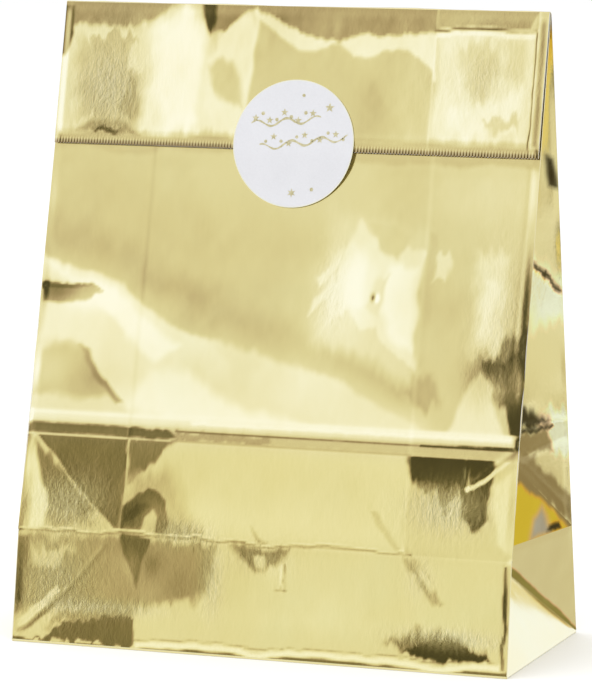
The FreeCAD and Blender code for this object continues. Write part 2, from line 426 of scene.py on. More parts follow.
def triangle_sheet(name, points, places, relief, lean, crumple, painted_light):
    """The same over a triangle, anticlockwise as seen from outside."""
    corners = np.array([tuple(p) for p in points]) / MM
    n = round(max(np.linalg.norm(corners[i] - corners[i - 1]) for i in range(3)) / TRIANGLE_STEP)
    shares, index = [], {}
    for i in range(n + 1):
        for j in range(n + 1 - i):
            index[i, j] = len(shares)
            shares.append((1 - (i + j) / n, j / n, i / n))
    faces = []
    for i in range(n):
        for j in range(n - i):
            faces.append((index[i, j], index[i, j + 1], index[i + 1, j]))
            if j < n - i - 1:
                faces.append((index[i, j + 1], index[i + 1, j + 1], index[i + 1, j]))
    shares = np.array(shares)
    x, s = (shares @ np.array(places, float)).T
    out = unit(np.cross(corners[1] - corners[0], corners[2] - corners[0]))
    right = unit(np.cross((0, 0, 1), out))
    height, degrees, rough, colour = shaped(x, s, relief, lean, crumple, painted_light)
    height = height * rise(shares.min(axis=1), 0, 0.06)
    points = shares @ corners + out * height[:, None]
    return foil_piece(name, points, faces, right, degrees, rough, colour, False)


def flipped(points, places):
    """The same corners on the left side, in an order that still faces outwards."""
    return [Vector((-p.x, p.y, p.z)) for p in points][::-1], list(places)[::-1]


# ---- riding
def wall_normal(low, high):
    """Outward normal of a wall between two level creases, facing the front."""
    return Vector((1, 0, 0)).cross((high - low).normalized())


WALL_KEEP = 0.05        # share of a wall's relief, passed to flatten


def flatten(piece, low, high, keep, lift=0.0):
    """Gives the sheet its own copy of its mesh. low, high, keep and lift are not used."""
    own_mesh(piece)


def place(piece, body, *nodes, slot="gold_foil_paper"):
    """The piece rides on a body and stands for its CAD nodes."""
    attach(piece, body)
    finish(piece, *nodes, slot=slot)


def finish(piece, *nodes, slot="gold_foil_paper"):
    if nodes:
        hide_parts(*nodes)


# ---- front wall
LOWER_LENGTH = (HALF_CREASE - FRONT_FOOT).length / MM
FRONT_LENGTH = LOWER_LENGTH + (TOP - HALF_CREASE).length / MM
EDGE = BASE_HALF / MM
PLEAT = PLEAT_HALF / MM + 2.0       # the side pleat behind the sheet prints through here
# tones: the degrees of lean at which the walls mirror each part of the studio
PITCH, BLACK, OLIVE, BROWN, DIM = -10.6, -8.5, -6.0, -4.0, -1.6
TAN, GOLD, PALE, WHITE, GLARE = 0.0, 1.6, 2.8, 5.5, 8.5
EVEN_OUT = 0.0136                   # degrees per mm: the wall is hollow by this much across its width

UPPER_FACETS = [
    (0.5, 22, 0, block(-126, 126, 200, 320)),
    (-0.7, 16, 0, [(-126, 200), (-50, 168), (10, 150), (60, 134), (66, 170), (0, 200), (-60, 226),
        (-126, 240)]),
    (-2.2, 8, 0, [(-126, 190), (-82, 176), (-50, 158), (-22, 150), (28, 138), (66, 124), (66, 142),
        (20, 156), (-48, 176), (-88, 196), (-126, 208)]),
    (GOLD, 8, 2, block(72, 126, 215, 245)),
    (DIM + 0.2, 1.6, 0.6, block(-126, 126, 236.5, 246)),
    (PALE + 0.4, 10, 0, [(-50, 104), (90, 104), (74, 116), (20, 132), (-30, 144)]),
    (WHITE - 1.1, 2.2, 0.8, [(-126, 104), (92, 104), (68, 113), (25, 134), (-22, 146), (-52, 154),
        (-126, 180)]),
    (WHITE - 0.3, 1.8, 0.5, [(-126, 104), (-20, 104), (-22, 138), (-34, 147), (-54, 155), (-82, 172),
        (-126, 187)]),
    (PALE + 0.8, 9, 0, [(-60, 104), (-66, 128), (-40, 138), (-10, 128), (30, 112), (30, 104)]),
    (WHITE + 2.6, 3.0, 1, [(-122, 183), (-84, 169), (-60, 153), (-50, 145), (-64, 138), (-88, 158),
        (-112, 172)]),
    (GLARE, 2.5, 1, [(-92, 166), (-70, 157), (-60, 147), (-70, 148), (-88, 158)]),
    (WHITE + 1.4, 4, 1, [(-66, 134), (-50, 134), (-20, 120), (20, 110), (60, 107), (-40, 106), (-74, 112)]),
    (BROWN + 1.2, 1.6, 1, [(-124, 174), (-106, 173), (-92, 168), (-104, 163), (-124, 163)]),
    (BROWN - 0.8, 0.7, 0.4, [(-124, 173.5), (-108, 173.5), (-92, 168.5), (-106, 171), (-124, 170.5)]),
    (PALE + 0.5, 3, 0.6, [(-126, 108), (-72, 108), (-84, 122), (-97, 139), (-108, 144), (-126, 143)]),
    (DIM + 0.2, 3, 0.6, [(-124, 120), (-122, 138), (-110, 143), (-98, 138), (-84, 120), (-100, 116)]),
    (BROWN + 1, 1.1, 0.5, [(-104, 141), (-98, 140), (-76, 115), (-80, 114)]),
    (GOLD + 0.4, 6, 2, [(20, 150), (22, 210), (71, 204), (71, 132), (44, 142)]),
    (WHITE - 1.2, 1.4, 1.6, [(27, 164), (24, 174), (30, 182), (29, 192), (34, 202), (38, 207), (41, 200),
        (50, 197), (62, 199), (71, 196), (71, 141), (66, 147), (58, 150), (50, 158), (42, 158), (36, 165)]),
    (WHITE - 2, 1, 1, [(31, 190), (20, 178), (19, 182), (29, 196)]),
    (WHITE - 2, 1, 1, [(29, 178), (16, 164), (17, 169), (27, 183)]),
    (WHITE - 2, 1, 1, [(33, 168), (24, 154), (25, 159), (30, 172)]),
    (GLARE - 1.5, 3, 1, [(54, 188), (69, 190), (70, 152), (60, 154), (52, 170)]),
    (GLARE - 2.5, 3, 1, [(34, 196), (42, 188), (44, 168), (34, 168)]),
    (TAN + 0.6, 1.6, 1, [(42, 206), (47, 193), (57, 191), (62, 204)]),
    (PALE, 1.5, 1, [(45, 168), (48, 182), (55, 184), (52, 164)]),
    (WHITE - 2, 1.2, 3, [(76, 179), (78, 195), (86, 192), (83, 180)]),
    (TAN - 0.5, 1.5, 1, [(71.5, 140), (71.5, 205), (76, 203), (76, 144)]),
    (PALE + 0.6, 4, 4, [(97, 150), (98, 196), (114, 198), (112, 150)]),
    (WHITE, 2, 3, [(101, 158), (103, 184), (108, 182), (106, 156)]),
    (DIM - 1, 3, 3, [(66, 128), (70, 138), (80, 138), (84, 128), (76, 122)]),
    (WHITE - 0.8, 1.6, 1, [(84, 106), (97, 132), (103, 142), (108, 134), (117, 110)]),
    (OLIVE, 3, 4, [(104, 150), (126, 158), (126, 128), (112, 126)]),
    (PITCH + 1, 2, 2, [(112, 146), (126, 152), (126, 128), (116, 128)]),
    (PITCH + 1, 1, 0.8, [(117, 128), (126, 130), (126, 104), (120, 110)]),
]
SCORE_FACETS = [
    (PALE, 0.6, 0, [(-126, 104.5), (121, 105.5), (121, 112), (-126, 112)]),
    (WHITE - 0.6, 1.4, 0.3, [(-126, 106.5), (121, 107), (121, 111.6), (-126, 111)]),
    (GLARE - 1, 0.7, 0.3, [(-40, 107.4), (121, 107.6), (121, 109.2), (-40, 109)]),
    (OLIVE, 0.6, 0.2, block(-126, -72.5, 99.9, 105)),
    (BLACK + 2, 0.8, 0.6, [(-72.5, 99.9), (-46, 99.9), (-52, 104.6), (-72.5, 104.6)]),
    (BROWN + 0.8, 1.0, 1.2, [(-48, 99.9), (2, 99.9), (0, 103.8), (-48, 103.8)]),
    (DIM + 0.2, 1.0, 0.6, [(2, 99.9), (126, 99.9), (126, 103.8), (0, 103.8)]),
    (OLIVE + 0.5, 0.35, 0.1, [(-48, 103.6), (76, 103.9), (76, 104.7), (-48, 104.4)]),
    (BLACK, 0.4, 0.1, [(76, 103.2), (122, 103.6), (122, 105.3), (76, 104.5)]),
    (PALE, 0.3, 0.1, block(-126, -72.5, 98.9, 99.7)),
    (BROWN, 0.3, 0.1, block(-50, 72, 98.8, 99.6)),
]
LOWER_FACETS = [
    # between the two creases
    (1.8, 5, 0, block(-126, 126, 53, 100)),
    (TAN + 0.4, 1.2, 0, block(71.5, 126, 53, 100)),
    (-0.4, 4, 2, [(-126, 53), (-72, 53), (-100, 78), (-126, 98)]),
    (OLIVE + 0.8, 2.0, 2, [(-121, 98), (-112, 90), (-84, 63), (-92, 58), (-108, 64), (-117, 78)]),
    (BROWN + 1.2, 2.5, 3, [(-116, 66), (-92, 62), (-86, 57), (-108, 56)]),
    (PALE + 1.4, 1.4, 0.6, [(-120, 93), (-116, 82), (-112, 66), (-112, 54), (-120, 54), (-121, 70)]),
    (BROWN, 0.7, 0.6, [(-126, 54), (-126, 99), (-122.5, 99), (-123, 54)]),
    (OLIVE, 0.4, 0.2, [(-121, 100), (-72.5, 100), (-72.5, 55), (-76, 55.5)]),
    (DIM + 0.6, 0.3, 0.2, [(-121.6, 100), (-120.7, 100), (-75.4, 55.5), (-76.6, 55.5)]),
    (OLIVE + 0.6, 1.0, 1.4, [(-71.5, 100), (-47, 100), (-71.5, 76)]),
    (DIM, 5, 3, [(-71, 80), (-50, 86), (-32, 60), (-28, 54), (-71, 54)]),
    (DIM - 1.2, 2, 3, [(-50, 54), (-50, 66), (-38, 60), (-26, 55)]),
    (OLIVE - 0.2, 0.8, 0.8, [(-72, 54), (-72, 66), (-66, 74), (-57, 76), (-50, 71), (-47, 60), (-49, 54),
        (-53, 54), (-54, 62), (-57, 66), (-61, 62), (-62, 54)]),
    (BLACK + 1.5, 0.8, 0.6, [(-71, 62), (-66, 69), (-58, 68), (-64, 63), (-70, 58)]),
    (OLIVE, 2.5, 5, [(71.5, 100), (114, 100), (108, 82), (88, 78), (71.5, 84)]),
    (PITCH, 2.0, 3, [(71.5, 101), (114, 101), (110, 90), (90, 85), (71.5, 88)]),
    (PITCH + 1.5, 1.2, 2, [(97, 90), (111, 92), (110, 70), (104, 64), (99, 74)]),
    (WHITE - 1, 0.5, 0.3, [(99, 84.8), (100.4, 83.4), (125, 102.6), (124, 104.4)]),
    (PALE + 0.5, 2, 1, [(112, 88), (126, 98), (126, 56), (116, 60)]),
    (BROWN + 1, 1.2, 0.8, [(-1, 53), (-4, 62), (0, 57), (4, 56)]),
    (DIM + 0.4, 0.8, 0.8, [(68, 54), (54, 72), (58, 73), (70, 55)]),
    (PALE + 1, 0.4, 0.2, block(-125, 72, 54.1, 55)),
    (OLIVE - 0.6, 0.4, 0.3, block(-125, 76, 52.8, 53.9)),
    # lower wall
    (GOLD, 5, 0, block(-126, 126, -5, 52.6)),
    (-3.0, 3, 2, [(-126, 10), (-100, 26), (-82, 52), (-126, 52)]),
    (GOLD - 1, 2, 3, [(-118, 46), (-96, 48), (-104, 38), (-116, 36)]),
    (-3.6, 3, 2.5, [(-112, 16), (-60, 19), (-26, 26), (-22, 38), (-22, 52), (-88, 52), (-98, 30)]),
    (DIM - 1.6, 2, 2, [(-104, 28), (-92, 30), (-84, 46), (-92, 50), (-100, 42)]),
    (OLIVE + 1, 1.4, 0.8, [(-126, 18), (-121, 18), (-119, 50), (-126, 50)]),
    (BROWN + 0.4, 0.8, 0.5, [(-122, 2), (-100, 21), (-86, 37), (-88, 40), (-102, 25), (-122, 5)]),
    (PALE + 0.4, 0.6, 0.3, [(-122, 5), (-102, 25), (-104, 28), (-123, 9)]),
    (OLIVE - 0.6, 1.0, 0.6, [(-72, 52), (-55, 52), (-59, 40), (-62, 28), (-66, 38)]),
    (BROWN - 0.8, 2.0, 1.5, [(-14, 52), (16, 52), (8, 44), (-1, 40), (-10, 45)]),
    (GOLD, 1.2, 0.8, [(-4, 48), (2, 49), (2, 42), (-2, 42)]),
    (BROWN + 0.6, 2.5, 4, [(-108, 8), (-60.5, 12), (-60.5, 19), (-84, 19), (-100, 14)]),
    (OLIVE - 0.1, 0.7, 2.0, [(-116, 1.5), (-60.5, 1.0), (-60.5, 13.5), (-78, 15), (-96, 10)]),
    (OLIVE + 0.6, 3, 3, [(64, 10), (82, 18), (100, 15), (114, 6), (90, 5)]),
    (PITCH, 1.3, 1.4, [(74, 8), (86, 14.5), (98, 13), (119, 4), (98, 5)]),
    (BROWN + 1.4, 1.6, 2.5, [(70, 52), (76, 52), (92, 34), (88, 32)]),
    (BROWN + 1, 0.3, 0.2, block(11.7, 12.3, 32, 45)),
    (BROWN + 1, 0.3, 0.1, block(9, 15, 31.6, 32.2)),
    (OLIVE, 0.5, 0.6, [(121.8, 2), (123.4, 2), (122.8, 51), (121.2, 51)]),
    (PALE + 1, 0.8, 0.3, block(-60, 122, -3, 4.4)),
    (WHITE + 1, 0.5, 0.2, block(-60, 121, 1.4, 3.2)),
    (BROWN + 1, 0.35, 0.3, [(-60, 4.4), (108, 4.6), (108, 5.3), (-60, 5.1)]),
    (OLIVE, 0.4, 0, block(-126, 126, -2, 0.7)),
]


def front_lean(x, s):
    soft = 0.15 * crinkle(x, s, 45, 70)
    upper = lean_field(x, s, UPPER_FACETS, 11)
    lower = lean_field(x, s, LOWER_FACETS, 14, 1.5)
    score = lean_field(x, s, SCORE_FACETS, 17, 0.25)
    pressed = rise(s, 98.8, 99.6) * (1 - rise(s, 110.2, 112))
    lean = lower + (upper - lower) * rise(s, 98.8, 99.6)
    return EVEN_OUT * x + soft + lean + (score - lean) * pressed


def beside_seal(x, s, middle, reach):
    """0 under the seal and 1 away from it."""
    return rise(np.hypot(x, s - middle), reach, reach + 26)


def front_still(x, s):
    """How free the sheet is to bow: not at its creases, nor under the folded-over top."""
    under_flap = 1 - rise(s, FRONT_LENGTH - 80, FRONT_LENGTH - 70)
    creases = rise(np.abs(s - LOWER_LENGTH), 0, 24) * rise(np.abs(s - 104), 3, 26) * rise(s, 0, 24)
    return under_flap * creases * beside_seal(x, s, FRONT_LENGTH - 66, 30)


FRONT_DENTS = [
    ((-62, 60), (9, 8), -0.7), ((-60, 43), (7, 7), 0.5), ((0, 46), (11, 7), -0.5),
    ((112, 136), (11, 13), -0.9), ((50, 172), (26, 22), 0.9), ((-106, 168), (16, 6), -0.9),
    ((-105, 128), (20, 12), 0.8),
]
FRONT_CREASES = [
    ((-124, 1), (-97, 26), 0.9, 0.08), ((-97, 26), (-80, 47), 0.9, 0.04), ((-122, 100), (-73, 55), 0.9, 0.03),
    ((72, 55), (84, 43), 0.8, 0.07), ((52, 74), (72, 54), 0.9, 0.03), ((98, 84), (124, 105), 1.4, 0.12),
    ((12, 32), (12, 44), 0.8, 0.08), ((119, 140), (121, 235), 1.0, -0.05), ((100, 84), (100, 94), 1.0, -0.15),
]
FRONT_CRAZED = [
    ((92, 76), (20, 12), 0.40), ((-100, 68), (18, 12), 0.40), ((26, 172), (8, 22), 0.20),
    ((96, 15), (26, 5), 0.35), ((-24, 34), (6, 18), 0.25), ((-80, 18), (30, 4), 0.35),
    ((80, 42), (8, 10), 0.20), ((0, 46), (18, 8), 0.15), ((110, 160), (14, 40), 0.20),
    ((-40, 56), (14, 6), 0.30), ((-104, 30), (18, 18), 0.30),
]


def front_relief(x, s):
    """Height over the flat panels: soft bowing, pressed creases, dents and the pleats' imprint."""
    body = mounds(x, s, FRONT_DENTS, 0.5 * crinkle(x, s, 85, 3, 2) + 0.05 * crinkle(x, s, 24, 5))
    lip = 0.45 * rise(s, 103.4, 105.6) * (1 - rise(s, 108.6, 112)) - 0.12 * np.exp(-((s - 99.2) / 0.8) ** 2)
    fold = -0.25 * np.exp(-np.abs(s - LOWER_LENGTH) / 0.8)
    pleat = 0.035 * rise(np.abs(x), PLEAT - 0.7, PLEAT + 0.7) * rise(s, 40, 60)
    creases = ridges(x, s, FRONT_CREASES) + mound(x, s, (48, 172), (1.2, 1.6), -0.5)
    calm = rise(EDGE - np.abs(x), 0, 4)
    return (body * front_still(x, s) + creases + pleat) * calm + (lip + fold) * rise(EDGE - np.abs(x), 0, 2)


def front_crumple(x, s):
    """Where the foil is finely crazed."""
    return np.clip(0.025 + 0.03 * rise(-s, -100, -96) + mounds(x, s, FRONT_CRAZED), 0, 1)


# painted reflection: the foil below the score line is painted yellower
front_painted_reflection = painted_light_over([((1.0, 0.99, 0.88), 6, 0, block(-130, 130, -5, 98))], 19, 0)


FRONT_BOW, FRONT_STEP = 0.22, (0.95, 0.95)      # share of the lean that is real shape, and mesh size in mm


def build_front():
    feet, halves, tops = [[wide(p, side) for side in (-1, 1)] for p in (FRONT_FOOT, HALF_CREASE, TOP)]
    for name, body, low, high, s0, s1, *creases in (
            ("lower", "lower_front", feet, halves, 0, LOWER_LENGTH, FRONT_FOOT, HALF_CREASE),
            ("upper", "upper_front", halves, tops, LOWER_LENGTH, FRONT_LENGTH, HALF_CREASE, TOP)):
        piece = sheet("front_" + name + "_sheet", [low[0], low[1], high[1], high[0]],
                      [(-EDGE, s0), (EDGE, s0), (EDGE, s1), (-EDGE, s1)],
                      front_relief, front_lean, FRONT_BOW, front_still, front_crumple, step=FRONT_STEP,
                      painted_light=front_painted_reflection)
        flatten(piece, *creases, WALL_KEEP)
        place(piece, body, name + "_front_wall")


# ---- folded-over top
FLAP_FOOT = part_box("flap_inner_layer")[0]
FLAP_LENGTH = math.hypot(FLAP_INNER_TOP.y - FLAP_FOOT.y, FLAP_INNER_TOP.z - FLAP_FOOT.z) / MM
FLAP_HALF = TOP_HALF / MM
FLAP_DOWN = (HALF_CREASE - TOP).normalized()
FLAP_OUT = wall_normal(HALF_CREASE, TOP)
SEAL_RADIUS = (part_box("seal_disc")[1].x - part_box("seal_disc")[0].x) / 2
SEAL_DROP = (SEAL_TOP - TOP).dot(FLAP_DOWN) / MM + SEAL_RADIUS / MM
PINK_PITCH, PINK_DEPTH = 1.5, 0.5

FLAP_FACETS = [
    (0.6, 8, 0, block(-126, 126, -2, 72)),
    (PALE, 3, 2, [(-124, 10), (-80, 13), (-72, 60), (-124, 62)]),
    (-1.2, 4, 5, [(-114, 20), (-92, 18), (-80, 40), (-80, 62), (-110, 58)]),
    (BROWN + 1, 1.5, 3, [(-86, 30), (-80, 52), (-84, 60), (-92, 48)]),
    (DIM, 1.5, 4, [(-108, 16), (-84, 15), (-92, 24), (-106, 26)]),
    (WHITE, 4, 2, [(-80, 12), (-60, 0), (-48, 12), (-48, 62), (-80, 62), (-76, 38)]),
    (GLARE, 5, 2, [(-72, 14), (-60, 4), (-50, 18), (-50, 58), (-66, 60), (-72, 40)]),
    (WHITE, 3, 2, [(-48, 26), (-40, 10), (-26, 4), (-18, 12), (-24, 40), (-24, 62), (-50, 62)]),
    (0.0, 2.5, 1, [(-46, 30), (-42, 26), (-34, 27), (-29, 36), (-27, 48), (-36, 46), (-44, 38)]),
    (WHITE - 0.5, 1.5, 0.8, [(-24, 2), (0, 11), (20, 17), (35, 12), (68, 9), (68, 34), (-20, 34)]),
    (-0.7, 1.3, 0.6, [(-21, 7), (-10, 14), (0, 20), (10, 20), (20, 17.5), (28, 24), (36, 23.5), (44, 20),
        (53, 19), (60, 23), (66, 29), (67.5, 64), (-26, 64)]),
    (WHITE - 1.5, 2, 1, block(69, 117.5, 9.5, 62)),
    (WHITE + 1, 4, 3, [(78, 46), (112, 38), (112, 58), (80, 59)]),
    (TAN + 0.6, 3, 4, [(80, 18), (98, 16), (102, 32), (92, 42), (84, 36)]),
    (GOLD, 3, 3, [(102, 14), (113, 14), (113, 34), (104, 30)]),
    (GOLD, 1.5, 3, [(94, 52), (112, 48), (112, 54), (98, 58)]),
    (BROWN, 1.5, 1, [(-124, -3), (-62, -3), (-76, 8), (-95, 12), (-110, 10), (-118, 12)]),
    (BROWN, 1.2, 0.8, [(-47, -3), (69, -3), (69, 10), (50, 13), (30, 13), (20, 17), (0, 11), (-22, 2),
        (-27, 3), (-40, 13), (-46, 14)]),
    (BROWN + 0.7, 0.6, 0.3, [(68, -3), (119, -3), (114, 8), (69, 8.7)]),
    (WHITE + 1, 0.5, 0.1, [(68, 10.8), (117, 10.4), (117, 12.4), (68, 12.8)]),
    (OLIVE - 1, 0.3, 0.1, [(67, 9.2), (117.5, 8.8), (117.5, 9.8), (67, 10.4)]),
    (BLACK, 1.5, 1, [(-53, -3), (-46, -3), (-44, 8), (-47, 15), (-51, 8)]),
    (BLACK, 1.2, 0.5, [(-126, 1), (-118, 3), (-117, 16), (-121, 26), (-126, 27)]),
    (BROWN, 2, 1, [(-112, 62), (-104, 58), (-90, 57), (-78, 63), (-92, 65)]),
    (BLACK, 0.8, 1, [(-105, 63), (-98, 61), (-88, 62), (-92, 64)]),
    (PALE + 0.6, 0.8, 0.3, block(118.7, 126, 3, 66)),
    (OLIVE, 0.3, 0.3, block(117.4, 118, 10, 64)),
    (DIM, 0.5, 0.2, block(-126, 126, 64.3, 73)),
]


def flap_lean(x, d):
    return EVEN_OUT * x + 0.25 * crinkle(x, d, 30, 90) + lean_field(x, d, FLAP_FACETS, 41, 1.2)


def flap_still(x, d):
    return rise(d, 0, 8) * rise(FLAP_LENGTH - d, 2, 8) * beside_seal(x, d, SEAL_DROP, SEAL_RADIUS / MM - 4)


def flap_relief(x, d):
    """Outward height of the folded-over top's outer face, d below the top crease."""
    padded = 0.35 * rise(d, 0, 6) * rise(FLAP_HALF - np.abs(x), 0, 4)
    body = (0.25 * crinkle(x, d, 45, 31, 2) + 0.06 * crinkle(x, d, 16, 33)) * flap_still(x, d)
    pressed = -0.30 * rise(d, 63.3, 64.5) * rise(FLAP_HALF - np.abs(x), 1, 4)
    pressed = pressed + 0.15 * np.exp(-((d - 62) / 1.2) ** 2)
    line = -0.12 * np.exp(-((d - 9.3) / 0.6) ** 2) * rise(x, 66, 69) * rise(-x, -119, -117)
    stitch = 0.5 + 0.5 * np.sin(d * 2.4)
    side = -0.04 * np.exp(-((x - 117.8) / 0.6) ** 2) * (0.3 + 0.7 * stitch)
    side = side + 0.03 * rise(x, PLEAT - 4.2, PLEAT - 3)
    ribs = 0.06 * np.cos(2 * math.pi * x / PINK_PITCH) * rise(d, FLAP_LENGTH - 2.2, FLAP_LENGTH - 1.6)
    return padded + body + pressed + line + side + ribs


# painted shade along the flap's lower, pinked edge
flap_painted_shade = painted_light_over([((0.54, 0.46, 0.44), 0.4, 0, block(-130, 130, 67.7, 73))], 47, 0)


def flap_crumple(x, d):
    crazed = mound(x, d, (-96, 40), (20, 22), 0.30) + mound(x, d, (92, 34), (26, 22), 0.18)
    return np.clip(0.03 + crazed + mound(x, d, (-62, 35), (10, 28), 0.1), 0, 1)


def pinked_edge(x, d):
    """The zigzag of the cut edge, in mm up the sheet, fading out a few mm above it."""
    saw = np.abs(((x / PINK_PITCH) % 1) - 0.5) * 2
    return PINK_DEPTH * saw * rise(d, FLAP_LENGTH - 5, FLAP_LENGTH)


def flap_corners(crease, x0, x1, start=0.0):
    """A layer hanging from its crease: foot then top, left then right."""
    top, foot = crease + FLAP_DOWN * start * MM, crease + FLAP_DOWN * FLAP_LENGTH * MM
    corners = [Vector((x * MM, p.y, p.z)) for x, p in ((x0, foot), (x1, foot), (x1, top), (x0, top))]
    places = [(x0, FLAP_LENGTH), (x1, FLAP_LENGTH), (x1, start), (x0, start)]
    return corners, places


def facing_back(corners, places):
    """The same corners in the order that makes the sheet's foil face the other way."""
    return [corners[i] for i in (1, 0, 3, 2)], [places[i] for i in (1, 0, 3, 2)]


FINE_STEP = (PINK_PITCH / 4, 1.25)
FLAP_BOW = 0.08


def build_flap():
    outer = sheet("flap_outer_sheet", *flap_corners(FLAP_OUTER_TOP, -FLAP_HALF, FLAP_HALF),
                  flap_relief, flap_lean, FLAP_BOW, flap_still, flap_crumple, pinked_edge, FINE_STEP,
                  painted_light=flap_painted_shade)
    place(outer, "flap_outer", "flap_outer_layer")
    inner = sheet("flap_inner_sheet", *facing_back(*flap_corners(FLAP_INNER_TOP, -FLAP_HALF, FLAP_HALF)),
                  edge=lambda x, d: pinked_edge(x + PINK_PITCH / 3, d), step=FINE_STEP)
    place(inner, "flap_inner", "flap_inner_layer")
    for side, name in ((-1, "left"), (1, "right")):
        for layer, bodies, share in (("inner", ("flap_inner", "flap_outer"), 1 / 3),
                                     ("outer", ("flap_outer", "flap_inner"), 2 / 3)):
            build_pleat(side, name, layer, FLAP_INNER_TOP.lerp(FLAP_OUTER_TOP, share))


def build_pleat(side, name, layer, crease):
    """Half of a side pleat inside the folded-over top. Its inner edge meets the other half's, between the two
    layers."""
    x0, x1 = sorted((side * PLEAT_HALF / MM, side * (FLAP_HALF - 0.3)))
    corners, places = flap_corners(crease, x0, x1, 1.0)
    if layer == "outer":
        corners, places = facing_back(corners, places)
    piece = sheet("flap_" + layer + "_pleat_" + name + "_sheet", corners, places, edge=pinked_edge,
                  step=(PINK_PITCH / 4, 2.5))
    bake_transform(piece)
    finish(piece, "flap_" + layer + "_pleat_" + name)


def top_fold_relief(x, s):
    """A half round from crease to crease (s 0 to 1), uneven along it (x -1 to 1)."""
    return (0.75 + 0.3 * crinkle(x * 120, 0 * s, 17, 7)) * np.sqrt(np.clip(1 - (2 * s - 1) ** 2, 0, 1))


def top_fold_lean(x, s):
    return EVEN_OUT * x * 120 - 1.5 + 1.5 * crinkle(x * 120, s, 25, 19)


def build_top_fold():
    """The rounded crease where the back wall turns over the other layers into the folded-over top."""
    low, high = FLAP_OUTER_TOP, BACK_TOP
    corners = [wide(low, -1), wide(low, 1), wide(high, 1), wide(high, -1)]
    corners = [Vector((math.copysign(TOP_HALF, p.x), p.y, p.z)) for p in corners]
    piece = sheet("top_fold_sheet", corners, block(-1, 1, 0, 1),
                  top_fold_relief, top_fold_lean, step=(1.5, 0.3))
    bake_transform(piece)
    finish(piece)


# ---- seal
SEAL_LIFT = 0.45        # mm in front of the CAD seal's plane, over the padded flap
SEAL_SETTLE = 1.9       # mm that the part below the flap's edge settles towards the wall
SEAL_ASIDE, SEAL_LOWER = 0.0009, 0.0006
SEAL_CENTRE = SEAL_TOP + FLAP_DOWN * (SEAL_RADIUS + SEAL_LOWER) + Vector((SEAL_ASIDE, 0, 0))


def seal_point(x, up, height=0.0):
    """A point of the seal, from mm right of and above its centre. It bends down over the flap's cut edge."""
    below = rise(np.array(-up), FLAP_LENGTH - SEAL_DROP - 1.5, SEAL_RADIUS / MM - 4)
    out = SEAL_LIFT + height - SEAL_SETTLE * float(below)
    return SEAL_CENTRE + Vector((x * MM, 0, 0)) - FLAP_DOWN * up * MM + FLAP_OUT * out * MM


def build_seal():
    rings, spokes = 48, 96
    radius = SEAL_RADIUS / MM
    points, border = [seal_point(0, 0)], [0.0]
    for r in range(1, rings + 1):
        for k in range(spokes):
            a = 2 * math.pi * k / spokes
            points.append(seal_point(radius * r / rings * math.cos(a), radius * r / rings * math.sin(a)))
            border.append(float(r > rings - 1))
    faces = [(0, 1 + k, 1 + (k + 1) % spokes) for k in range(spokes)]
    for r in range(rings - 1):
        for k in range(spokes):
            a, b = 1 + r * spokes + k, 1 + r * spokes + (k + 1) % spokes
            faces.append((a, a + spokes, b + spokes, b))
    piece = mesh_piece("seal_sheet", points, faces, [SEAL_PAPER], {"border": np.array(border)})
    thicken(piece, SEAL_THICKNESS)
    peel_blend(piece)
    finish(piece, "seal_disc", slot="seal_paper")


def peel_blend(piece):
    """Bakes the seal's placement into its mesh."""
    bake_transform(piece)


def star(x, up, size, points=5):
    outline = []
    for k in range(2 * points):
        r = size if k % 2 == 0 else size * 0.42
        a = math.pi / 2 + math.pi * k / points
        outline.append((x + r * math.cos(a), up + r * math.sin(a)))
    return (x, up), outline


def dot(x, up, size):
    turns = [k * math.pi / 6 for k in range(12)]
    return (x, up), [(x + size * math.cos(a), up + size * math.sin(a)) for a in turns]


def build_print():
    """Generic gold stars, dots and two loose garland lines."""
    shapes = [dot(3.5, 23, 0.8), star(17, 17.5, 2.4), star(0.5, -23.5, 2.2, 6), dot(10.5, -21.5, 0.9)]
    for k in range(9):
        shape, size = (dot, 0.9) if k % 2 else (star, 1.9)
        shapes.append(shape(-20 + 3.6 * k, 11.5 + 2.2 * math.sin(k * 1.9) + 0.25 * k, size))
    for k in range(11):
        shape, size = (star, 1.8) if k % 2 else (dot, 0.8)
        shapes.append(shape(-14 + 3.9 * k, 0.5 + 2.0 * math.sin(k * 1.7) + 0.4 * k, size))
    points, faces = [], []
    for centre, outline in shapes:
        first = len(points)
        points.append(seal_point(*centre, 0.05))
        points.extend(seal_point(*p, 0.05) for p in outline)
        faces.extend((first, first + 1 + k, first + 1 + (k + 1) % len(outline)) for k in range(len(outline)))
    for x0, x1, up, slope, phase in ((-22, 13, 8.5, 0.10, 0.4), (-17, 27, -2.5, 0.14, 1.2)):
        first, steps = len(points), 60
        for k in range(steps + 1):
            x = x0 + (x1 - x0) * k / steps
            y = up + slope * (x - x0) + 1.6 * math.sin(0.42 * (x - x0) + phase)
            half = 0.30 + 0.26 * math.sin(math.pi * k / steps) + 0.10 * math.sin(k * 0.9)
            points += [seal_point(x, y - half, 0.05), seal_point(x, y + half, 0.05)]
            if k < steps:
                a = first + 2 * k
                faces.append((a, a + 2, a + 3, a + 1))
    piece = mesh_piece("seal_print", points, faces, [PRINT])
    thicken(piece, PRINT_THICKNESS)
    peel_blend(piece)
    finish(piece, slot="gold_foil_paper")


# ---- pleated sides, seen as flat sheets: across from the back edge, along from the base
BACK_UP = (BACK_TOP - REAR_FOOT).normalized()
REAR_HALF = wide(REAR_FOOT + BACK_UP * LOWER_LENGTH * MM, 1)
PLEAT_TOP = Vector((PLEAT_HALF, TOP.y, TOP.z))
FOLD_SHARE, FOLD_OUTWARD = 0.222, 0.004
FOLD_POINT = APEX.lerp(PLEAT_TOP, FOLD_SHARE) + Vector((FOLD_OUTWARD, 0, 0))    # on the pleat's inner crease
LAYER_GAP = 0.0004
SIDE_KEEP, REAR_LIFT, CORNER_LIFT = 0.008, 0.0004, -0.0003       # of the pleated sides, passed to flatten
